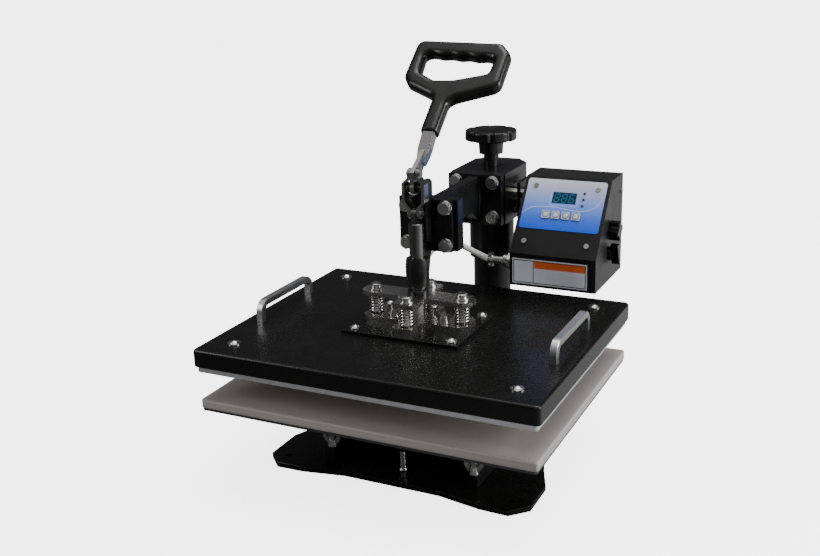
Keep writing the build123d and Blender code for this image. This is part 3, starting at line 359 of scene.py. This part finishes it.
def lens_button():
    """Cloudy translucent plastic of the keys."""
    s = Shader("button_cap", (0.62, 0.62, 0.64), 0.28, Coat_Weight=0.2)
    cloud = s.noise(500, detail=3.0)
    s.color(s.ramp(cloud, (0.3, (0.56, 0.56, 0.59)), (0.7, (0.68, 0.68, 0.70))))
    s.rough(s.remap(cloud, 0.3, 0.7, 0.24, 0.36))
    s.bump((cloud, 0.00002, 0.3))
    return s.mat


FELT, SPONGE, FILM, LABEL = felt(), sponge(), overlay_film(), label_film()
GLASS, BRAID, BUTTON = display_glass(), braided_sleeve(), lens_button()
CYAN = small_print("segment_lit", (0.006, 0.15, 0.22), glow=0.10)
# Dark grey of the painted shade round each key's dome
GROOVE_SHADE = small_print("key_groove_shade", (0.16, 0.16, 0.17))
LED_DARK = small_print("led_lens", (0.006, 0.006, 0.008))
LINE = small_print("printed_line", (0.80, 0.83, 0.90))

FINISHES = {
    POWDER: ["post", "stand_rails", "pedestal", "swing_sleeve", "head_block", "rear_flange", "beam",
             "front_flange", "toggle_body", "box_bracket", "pressure_screw", "ram_collar"],
    CASE_BLACK: ["control_case", "control_front"],
    GLOSS: ["platen_cover", "mount_plate"],
    BASE_BLACK: ["base_plate"],
    ZINC: ["base_bolts", "centre_stud", "stand_studs", "stand_wing_nut_left",
           "stand_wing_nut_right", "flange_bolts", "bracket_studs", "spring_bolts", "springs",
           "cross_wing_nut_left", "cross_wing_nut_right", "dome_screws", "case_screws",
           "heater_plug"],
    CHROME: ["upper_cross", "lower_cross"],
    NICKEL: ["lever_arm", "yoke_straps", "yoke_rivets", "pivot_pin"],
    RAM_STEEL: ["ram"],
    HANDLE: ["platen_handles"],
    HEATER: ["heater_plate"],
    SUPPORT: ["support_plate"],
    BRONZE: ["ram_bushes"],
    GRIP: ["hand_grip"],
    KNOB: ["pressure_knob", "switch_knob", "fuse_cap", "mains_inlet", "cable_grommet"],
    BOARD: ["circuit_board"],
    FELT: ["insulation"],
    SPONGE: ["pressing_pad"],
    FILM: ["panel_overlay"],
    LABEL: ["label_plate"],
    GLASS: ["display_window"],
    LED_DARK: ["indicator_leds"],
    BUTTON: ["button_1", "button_2", "button_3", "button_4"],
    BRAID: ["heater_cable"],
}
for finish, names in FINISHES.items():
    for name in names:
        node = NODES[name]
        node.data.materials.clear()
        node.data.materials.append(finish)


# Detail meshes

def add_object(name, data):
    """New object holding this data, linked to the scene."""
    obj = bpy.data.objects.new(name, data)
    bpy.context.scene.collection.objects.link(obj)
    return obj


def finish_mesh(mesh, finish):
    """Smooth faces and one material."""
    mesh.polygons.foreach_set("use_smooth", [True] * len(mesh.polygons))
    mesh.materials.clear()
    mesh.materials.append(finish)


def piece(name, vertices, faces, finish, body, sharp=40):
    """Mesh object in the row frame that rides on a body; edges past the sharp angle stay sharp."""
    mesh = bpy.data.meshes.new(name)
    mesh.from_pydata([tuple(v) for v in vertices], [], faces)
    mesh.update()
    finish_mesh(mesh, finish)
    mesh.set_sharp_from_angle(angle=math.radians(sharp))
    obj = add_object(name, mesh)
    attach(obj, body)
    return obj


def full_turn(count):
    """Angles of one turn in equal steps."""
    return [2 * math.pi * i / count for i in range(count)]


def join(*parts):
    """Several (vertices, faces) pairs as one."""
    vertices, faces = [], []
    for more, shapes in parts:
        start = len(vertices)
        vertices += more
        faces += [[start + i for i in face] for face in shapes]
    return vertices, faces


def loft(rings, closed=False):
    """Skin over rings of equal count: capped at its ends, or running back to its start."""
    count = len(rings[0])
    vertices = [v for ring in rings for v in ring]
    faces = []
    for k in range(len(rings) if closed else len(rings) - 1):
        a, b = k * count, (k + 1) % len(rings) * count
        faces += [[a + i, a + (i + 1) % count, b + (i + 1) % count, b + i] for i in range(count)]
    if not closed:
        faces += [list(range(count))[::-1], list(range(len(vertices) - count, len(vertices)))]
    return vertices, faces


def sweep(points, radius, sides=10, closed=False):
    """Round section carried along points without twisting; radius may be a list, one per point."""
    points = [Vector(p) for p in points]
    count = len(points)
    radii = radius if isinstance(radius, list) else [radius] * count
    runs = []
    for i in range(count):
        before = points[i - 1] if i or closed else points[0]
        after = points[(i + 1) % count] if i < count - 1 or closed else points[-1]
        runs.append((after - before).normalized())
    side = runs[0].orthogonal().normalized()
    rings = []
    for point, run, size in zip(points, runs, radii):
        side = (side - run * side.dot(run)).normalized()
        other = run.cross(side)
        rings.append([point + size * (math.cos(t) * side + math.sin(t) * other)
                      for t in full_turn(sides)])
    return loft(rings, closed)


def helix(centre, radius, low, high, turns, closed_ends, steps=28):
    """Points of an upright helix; closed_ends is the rise of the flat turn at each end."""
    total = int(turns * steps)
    points = []
    for i in range(total + 1):
        turn = i / steps
        rise = (turn * closed_ends if turn < 1 else
                (high - low) - (turns - turn) * closed_ends if turn > turns - 1 else
                closed_ends + (turn - 1) / (turns - 2) * (high - low - 2 * closed_ends))
        angle = 2 * math.pi * turn
        points.append((centre[0] + radius * math.cos(angle), centre[1] + radius * math.sin(angle),
                       low + rise))
    return points


def rounded_ring(centre, half_x, half_y, radius, z, steps=8):
    """Outline of a rectangle with round corners, seen from above."""
    points = []
    for sx, sy, start in ((1, 1, 0), (-1, 1, 90), (-1, -1, 180), (1, -1, 270)):
        for i in range(steps + 1):
            angle = math.radians(start + 90 * i / steps)
            x = centre[0] + sx * (half_x - radius) + radius * math.cos(angle)
            y = centre[1] + sy * (half_y - radius) + radius * math.sin(angle)
            points.append(Vector((x, y, z)))
    return points


def on_slope(u, v, w):
    """Point of the control box's sloping face, in millimetres across, up and out of it."""
    return SLOPE_ORIGIN + (u * SLOPE_U + v * SLOPE_V + w * SLOPE_N) / 1000


def soft_pad():
    """Sponge pad with pressed-in edges and a face that isn't quite flat."""
    low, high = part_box("pressing_pad")
    centre, half_x, half_y = (low + high) / 2, (high.x - low.x) / 2, (high.y - low.y) / 2
    rings = []
    for inset, z in ((0.0006, low.z), (0.0, low.z + 0.0008), (0.0003, low.z + 0.004),
                     (0.0001, low.z + 0.007), (0.0, high.z - 0.0022), (0.0004, high.z - 0.0010),
                     (0.0012, high.z - 0.0003), (0.0026, high.z - 0.0001), (0.012, high.z),
                     (0.05, high.z - 0.0002), (0.10, high.z - 0.0001)):
        corner = max(0.0022, 0.0035 - inset)
        rings.append(rounded_ring(centre, half_x - inset, half_y - inset, corner, z))
    pad = piece("sponge_pad", *loft(rings), SPONGE, "base", sharp=80)
    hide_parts("pressing_pad")


CABLE_R = 0.0035
CABLE_ROUTE = [(0.030, -0.084, 0.1975), (0.009, -0.088, 0.207), (-0.005, -0.102, 0.2205),
               (-0.0195, -0.122, 0.220), (-0.0293, -0.1385, 0.205), (-0.032, -0.146, 0.183),
               (-0.032, -0.146, 0.1579)]


def heater_lead():
    """Braided lead from the plug to the grommet, as a NURBS curve turned into a mesh."""
    data = bpy.data.curves.new("lead_path", "CURVE")
    data.dimensions = "3D"
    data.bevel_depth = CABLE_R
    data.bevel_resolution = 6
    data.resolution_u = 24
    data.use_fill_caps = True
    spline = data.splines.new("NURBS")
    spline.points.add(len(CABLE_ROUTE) - 1)
    for point, place in zip(spline.points, CABLE_ROUTE):
        point.co = (*place, 1)
    spline.order_u = 3
    spline.use_endpoint_u = True
    path = add_object("lead_path", data)
    evaluated = path.evaluated_get(bpy.context.evaluated_depsgraph_get())
    mesh = bpy.data.meshes.new_from_object(evaluated)
    bpy.data.objects.remove(path)
    bpy.data.curves.remove(data)
    mesh.name = "heater_lead"
    finish_mesh(mesh, BRAID)
    lead = add_object("heater_lead", mesh)
    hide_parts("heater_cable")
    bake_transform(lead)


# Places of the springs from the platen's centre
SPRINGS = [(-0.0515, 0.0), (0.0515, 0.0), (0.0, -0.030), (0.0, 0.030)]


def coil_springs():
    """Springs between the crosses, with their end coils closed."""
    low, high, wire = 0.1664, 0.1875, 0.0013
    radius, turns = 0.0071, 6.5
    coils = []
    for x, y in SPRINGS:
        path = helix((x, PLATEN_Y + y), radius, low + wire, high - wire, turns, closed_ends=0.0016)
        coils.append(sweep(path, wire, sides=12))
    springs = piece("coil_springs", *join(*coils), SPRING_WIRE, "platen")
    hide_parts("springs")
    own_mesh(springs)


LEVER_LEAN, GRIP_LEAN = math.radians(38.4), math.radians(48)
LEVER_LEN, PIVOT_Z = 0.0637, 0.310
GRIP_FOOT = Vector((0, PLATEN_Y + LEVER_LEN * math.sin(LEVER_LEAN),
                    PIVOT_Z + LEVER_LEN * math.cos(LEVER_LEAN)))
GRIP_UP = Vector((0, math.sin(GRIP_LEAN), math.cos(GRIP_LEAN)))
BAR_V = (0.094, 0.120)               # the grip's top bar, up from the grip's foot
FINGERS_U = (-0.040, 0.046)          # the run of the hollows across it
FINGER_PITCH, FINGER_DEPTH = 0.0212, 0.0016


def finger_grip():
    """The moulded grip, with hollows for four fingers under its top bar."""
    source = NODES["hand_grip"]
    mesh = source.data.copy()
    mesh.transform(source.matrix_world)
    bm = bmesh.new()
    bm.from_mesh(mesh)
    bmesh.ops.remove_doubles(bm, verts=bm.verts, dist=0.000002)
    bm.to_mesh(mesh)
    bm.free()
    rough_cast = add_object("grip_cast", mesh)
    remesh = rough_cast.modifiers.new("remesh", "REMESH")
    remesh.mode = "VOXEL"
    remesh.voxel_size = 0.0008
    soften = rough_cast.modifiers.new("soften", "SMOOTH")
    soften.iterations = 30
    evaluated = rough_cast.evaluated_get(bpy.context.evaluated_depsgraph_get())
    fine = bpy.data.meshes.new_from_object(evaluated)
    bpy.data.objects.remove(rough_cast)
    normals = [vertex.normal.copy() for vertex in fine.vertices]
    for vertex, normal in zip(fine.vertices, normals):
        offset = vertex.co - GRIP_FOOT
        u, v = offset.x, offset.dot(GRIP_UP)
        facing = max(0.0, -normal.dot(GRIP_UP))
        if BAR_V[0] < v < BAR_V[1] and FINGERS_U[0] < u < FINGERS_U[1]:
            fade = min(1.0, (u - FINGERS_U[0]) / 0.008, (FINGERS_U[1] - u) / 0.008)
            wave = 0.5 - 0.5 * math.cos(2 * math.pi * (u + 0.039) / FINGER_PITCH)
            vertex.co += GRIP_UP * facing * fade * (FINGER_DEPTH * wave - FINGER_DEPTH / 2)
    fine.name = "finger_grip"
    finish_mesh(fine, GRIP)
    grip = add_object("finger_grip", fine)
    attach(grip, "lever")
    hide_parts("hand_grip")


# The strokes of a figure, each from one corner of a grid two high and one wide to another
SEGMENTS = {"a": ((0, 2), (1, 2)), "b": ((1, 2), (1, 1)), "c": ((1, 1), (1, 0)),
            "d": ((0, 0), (1, 0)), "e": ((0, 1), (0, 0)), "f": ((0, 2), (0, 1)),
            "g": ((0, 1), (1, 1))}


def display_digits():
    """Three seven-segment figures on the dark part of the display."""
    tall, wide, slant, middle_v, half_stroke = 10.0, 5.4, 0.14, 72.3, 0.62
    parts = []
    for centre, lit in ((42.3, "abcdefg"), (51.0, "abcdefg"), (59.7, "acdefg")):
        for name in lit:
            (x0, y0), (x1, y1) = SEGMENTS[name]
            ends = []
            for x, y in ((x0, y0), (x1, y1)):
                up = (y - 1) * tall / 2
                ends.append(Vector((centre + (x - 0.5) * wide + slant * up, middle_v + up)))
            run = (ends[1] - ends[0]).normalized()
            side = Vector((-run.y, run.x)) * half_stroke
            a, b, point = ends[0] + run * 0.35, ends[1] - run * 0.35, run * 0.6
            outline = [a, a + point + side, b - point + side, b, b - point - side, a + point - side]
            rings = [[on_slope(p.x, p.y, w) for p in outline] for w in (0.38, 0.46)]
            parts.append(loft(rings))
    piece("display_digits", *join(*parts), CYAN, "head")


def ribbon(points, width, w, closed=False):
    """Flat printed line on the slope, through points across and up."""
    points = [Vector(p) for p in points]
    count = len(points)
    rings = []
    for i, point in enumerate(points):
        before = points[i - 1] if i or closed else point
        after = points[(i + 1) % count] if i < count - 1 or closed else point
        run = (after - before).normalized()
        side = Vector((-run.y, run.x)) * width / 2
        rings.append([on_slope(*(point + side), w), on_slope(*(point - side), w),
                      on_slope(*(point - side), w - 0.04), on_slope(*(point + side), w - 0.04)])
    return loft(rings, closed)


def smooth_line(points, steps=8):
    """Catmull-Rom line through points."""
    points = [Vector(p) for p in points]
    points = [2 * points[0] - points[1]] + points + [2 * points[-1] - points[-2]]
    line = []
    for a, b, c, d in zip(points, points[1:], points[2:], points[3:]):
        for i in range(steps):
            t = i / steps
            line.append(0.5 * (2 * b + (c - a) * t + (2 * a - 5 * b + 4 * c - d) * t * t
                               + (3 * b - a - 3 * c + d) * t * t * t))
    return line + [points[-2]]


def panel_print():
    """White sweep across the film and the fine line round the display."""
    sweep_line = smooth_line([(4.2, 50.4), (11.5, 56.6), (20.6, 59.6), (40, 60.4), (60, 58.2),
                              (75.2, 57.7), (87.6, 62.2), (93.6, 69.7), (96.6, 78.5)])
    parts = [ribbon(sweep_line, 0.55, 0.64)]
    outline = []
    for cx, cy, start in ((66.0, 80.6, 0), (35.8, 80.6, 90), (35.8, 64.0, 180), (66.0, 64.0, 270)):
        for i in range(7):
            angle = math.radians(start + 15 * i)
            outline.append((cx + 1.2 * math.cos(angle), cy + 1.2 * math.sin(angle)))
    parts.append(ribbon(outline, 0.5, 0.46, closed=True))
    piece("panel_lines", *join(*parts), LINE, "head")


def dome(u, v, profile, count):
    """Round shape standing on the slope; its profile is radius and height pairs in millimetres."""
    return loft([[on_slope(u + radius * math.cos(t), v + radius * math.sin(t), w)
                  for t in full_turn(count)] for radius, w in profile])


KEYS_U, KEYS_V = (33.2, 45.2, 57.2, 69.2), 50.3
LEDS_U, LEDS_V = 73.9, (64.2, 72.0, 79.6)


def button_domes():
    """Round dome in the middle of each key, and a thin dark ring round it that is painted shade in
    the groove at the dome's foot.
    """
    profile = ((3.7, 1.2), (3.5, 1.75), (3.1, 2.05), (2.4, 2.35), (1.6, 2.5), (0.8, 2.58),
               (0.2, 2.6))
    ring, ring_w, ring_tilt = 3.75, 1.95, 0.1
    for number, u in enumerate(KEYS_U, start=1):
        body = f"button_{number}"
        piece(f"button_dome_{number}", *dome(u, KEYS_V, profile, 32), BUTTON, body, sharp=70)
        # Thin dark ring of painted shade where the dome meets the key
        shade_path = [on_slope(u + ring * math.cos(t), KEYS_V + ring * math.sin(t),
                        ring_w + ring_tilt * math.sin(t)) for t in full_turn(36)]
        piece(f"button_groove_shade_{number}", *sweep(shade_path, 0.00038, sides=8, closed=True), GROOVE_SHADE, body)


def led_lenses():
    """Small domed lens on each indicator."""
    profile = ((1.45, 0.7), (1.35, 1.1), (1.0, 1.4), (0.5, 1.55), (0.1, 1.6))
    parts = [dome(LEDS_U, v, profile, 20) for v in LEDS_V]
    piece("led_lenses", *join(*parts), LED_DARK, "head", sharp=70)


M8, M6 = (0.0040, 0.00125), (0.0030, 0.001)     # radius and pitch


def thread(x, y, size, low, high):
    """Rolled thread round an upright stud."""
    radius, pitch = size
    path = helix((x, y), radius, low, high, (high - low) / pitch, closed_ends=pitch, steps=20)
    return sweep(path, pitch * 0.32, sides=6)


def threads():
    """Threads on the studs that show."""
    base = [thread(x, -0.270, M8, 0.0205, 0.0355) for x in (-0.086, 0.086)]
    base.append(thread(0.0002, -0.266, M6, 0.0085, 0.0272))
    piece("stand_threads", *join(*base), ZINC, "base", sharp=60)
    cross = [thread(x, -0.223, M6, 0.1667, 0.1798) for x in (-0.026, 0.034)]
    piece("cross_threads", *join(*cross), ZINC, "platen", sharp=60)


def weld(path, size, closed=False):
    """Run of weld: a bead whose width ripples along its length."""
    radii = [size * (1 + 0.10 * math.sin(i * 1.9) + 0.05 * math.sin(i * 0.7 + 1))
             for i in range(len(path))]
    return sweep(path, radii, sides=8, closed=closed)


def ring_path(radius, z, steps):
    """Level ring round the post's axis."""
    return [(radius * math.cos(t), radius * math.sin(t), z) for t in full_turn(steps)]


def upright_path(x, y, low, high, steps=70):
    """Upright line in equal steps."""
    start, end = Vector((x, y, low)), Vector((x, y, high))
    return [start.lerp(end, i / (steps - 1)) for i in range(steps)]


# Upright seams on both sides of the head: across, along, foot, top and bead size
HEAD_SEAMS = [(0.0062, -0.0545, 0.236, 0.286, 0.0018), (0.0062, -0.1685, 0.240, 0.288, 0.0018),
              (0.0042, -0.1894, 0.240, 0.291, 0.0016)]


def welds():
    """Beads round the post's foot and the sleeve's top, and down the beam's ends."""
    foot = weld(ring_path(0.0238, 0.0185, 150), 0.0026, closed=True)
    piece("post_weld", *foot, POWDER, "base", sharp=80)
    runs = [weld(ring_path(0.0277, 0.2286, 160), 0.0018, closed=True)]
    for side in (-1, 1):
        for x, y, low, high, size in HEAD_SEAMS:
            runs.append(weld(upright_path(side * x, y, low, high), size))
    piece("head_welds", *join(*runs), POWDER, "head", sharp=80)


soft_pad()
heater_lead()
coil_springs()
finger_grip()
display_digits()
panel_print()
button_domes()
led_lenses()
threads()
welds()


# Stage, lights and camera

def softbox(name, location, target, width, height, power):
    """Rectangular light aimed at a point."""
    light = bpy.data.lights.new(name, "AREA")
    light.shape = "RECTANGLE"
    light.size, light.size_y = width, height
    light.energy = power
    lamp = add_object(name, light)
    lamp.location = location
    lamp.rotation_euler = (Vector(target) - Vector(location)).to_track_quat("-Z", "Y").to_euler()


FLOOR_GLOW = 3.4


def studio():
    """Pale paper floor, bright to the camera and dim in its bounce, under a soft sky."""
    floor_mesh = bpy.data.meshes.new("floor")
    bm = bmesh.new()
    bmesh.ops.create_grid(bm, x_segments=2, y_segments=2, size=80.0)
    bm.to_mesh(floor_mesh)
    floor = add_object("floor", floor_mesh)
    s = Shader("floor_paper", (0.86, 0.86, 0.86), 0.9, Specular_IOR_Level=0.1)
    tone = s.noise(3.0, detail=2.0)
    paper = s.ramp(tone, (0.3, (0.86, 0.86, 0.86)), (0.7, (0.88, 0.88, 0.88)))
    seen = s.add("ShaderNodeLightPath").outputs["Is Camera Ray"]
    away = s.along((0.8, 0.6, 0))
    bounce = s.ramp(s.remap(away, -0.6, 1.2, 0.0, 1.0), (0.0, (0.06, 0.06, 0.06)),
                    (1.0, (0.55, 0.55, 0.555)))
    s.color(s.mix(seen, bounce, paper))
    s.bsdf.inputs["Emission Color"].default_value = (1, 1, 1, 1)
    s.put(s.bsdf.inputs["Emission Strength"], s.math("MULTIPLY", seen, FLOOR_GLOW))
    floor_mesh.materials.append(s.mat)

    world = bpy.data.worlds.new("studio")
    bpy.context.scene.world = world
    world.use_nodes = True
    nodes, links = world.node_tree.nodes, world.node_tree.links
    coordinates = nodes.new("ShaderNodeTexCoord")
    split = nodes.new("ShaderNodeSeparateXYZ")
    ramp = nodes.new("ShaderNodeValToRGB")
    links.new(coordinates.outputs["Generated"], split.inputs[0])
    links.new(split.outputs["Z"], ramp.inputs["Fac"])
    ramp.color_ramp.elements[0].position = 0.72
    ramp.color_ramp.elements[0].color = (0.05, 0.05, 0.055, 1)
    ramp.color_ramp.elements[1].position = 0.95
    ramp.color_ramp.elements[1].color = (1.0, 1.0, 1.0, 1)
    links.new(ramp.outputs["Color"], nodes["Background"].inputs["Color"])
    nodes["Background"].inputs["Strength"].default_value = 1.3


EYE_PLACE = (0.4854, -1.1987, 0.5662)


def camera():
    """Product camera, looking down at the press from its front right."""
    yaw, pitch, roll = math.radians(-26.68), math.radians(17.95), math.radians(-2.01)
    view = Vector((math.sin(yaw) * math.cos(pitch), math.cos(yaw) * math.cos(pitch),
                   -math.sin(pitch)))
    flat = Vector((math.cos(yaw), -math.sin(yaw), 0))
    upright = flat.cross(view)
    right = math.cos(roll) * flat + math.sin(roll) * upright
    up = -math.sin(roll) * flat + math.cos(roll) * upright
    data = bpy.data.cameras.new("camera")
    data.lens = 46.9
    data.sensor_width = 36.0
    eye = add_object("camera", data)
    axes = Matrix((right, up, -view)).transposed().to_4x4()
    eye.matrix_world = Matrix.Translation(EYE_PLACE) @ axes
    bpy.context.scene.camera = eye


def sky_light(name, direction, strength, spread):
    """Broad light from one side of the sky; the spread is in degrees."""
    light = bpy.data.lights.new(name, "SUN")
    light.energy = strength
    light.angle = math.radians(spread)
    lamp = add_object(name, light)
    lamp.rotation_euler = Vector(direction).to_track_quat("-Z", "Y").to_euler()


studio()
sky_light("overhead", (-0.10, -0.25, -1.0), 2.2, 45)
sky_light("fill", (-0.5, 0.9, -0.8), 0.35, 60)
softbox("left_strip", (-1.3, -1.3, 1.0), (0, -0.2, 0.25), 0.35, 1.2, 14)
softbox("right_box", (1.6, 0.2, 0.7), (0.1, -0.05, 0.22), 0.8, 1.0, 34)
camera()

bpy.context.view_layer.update()
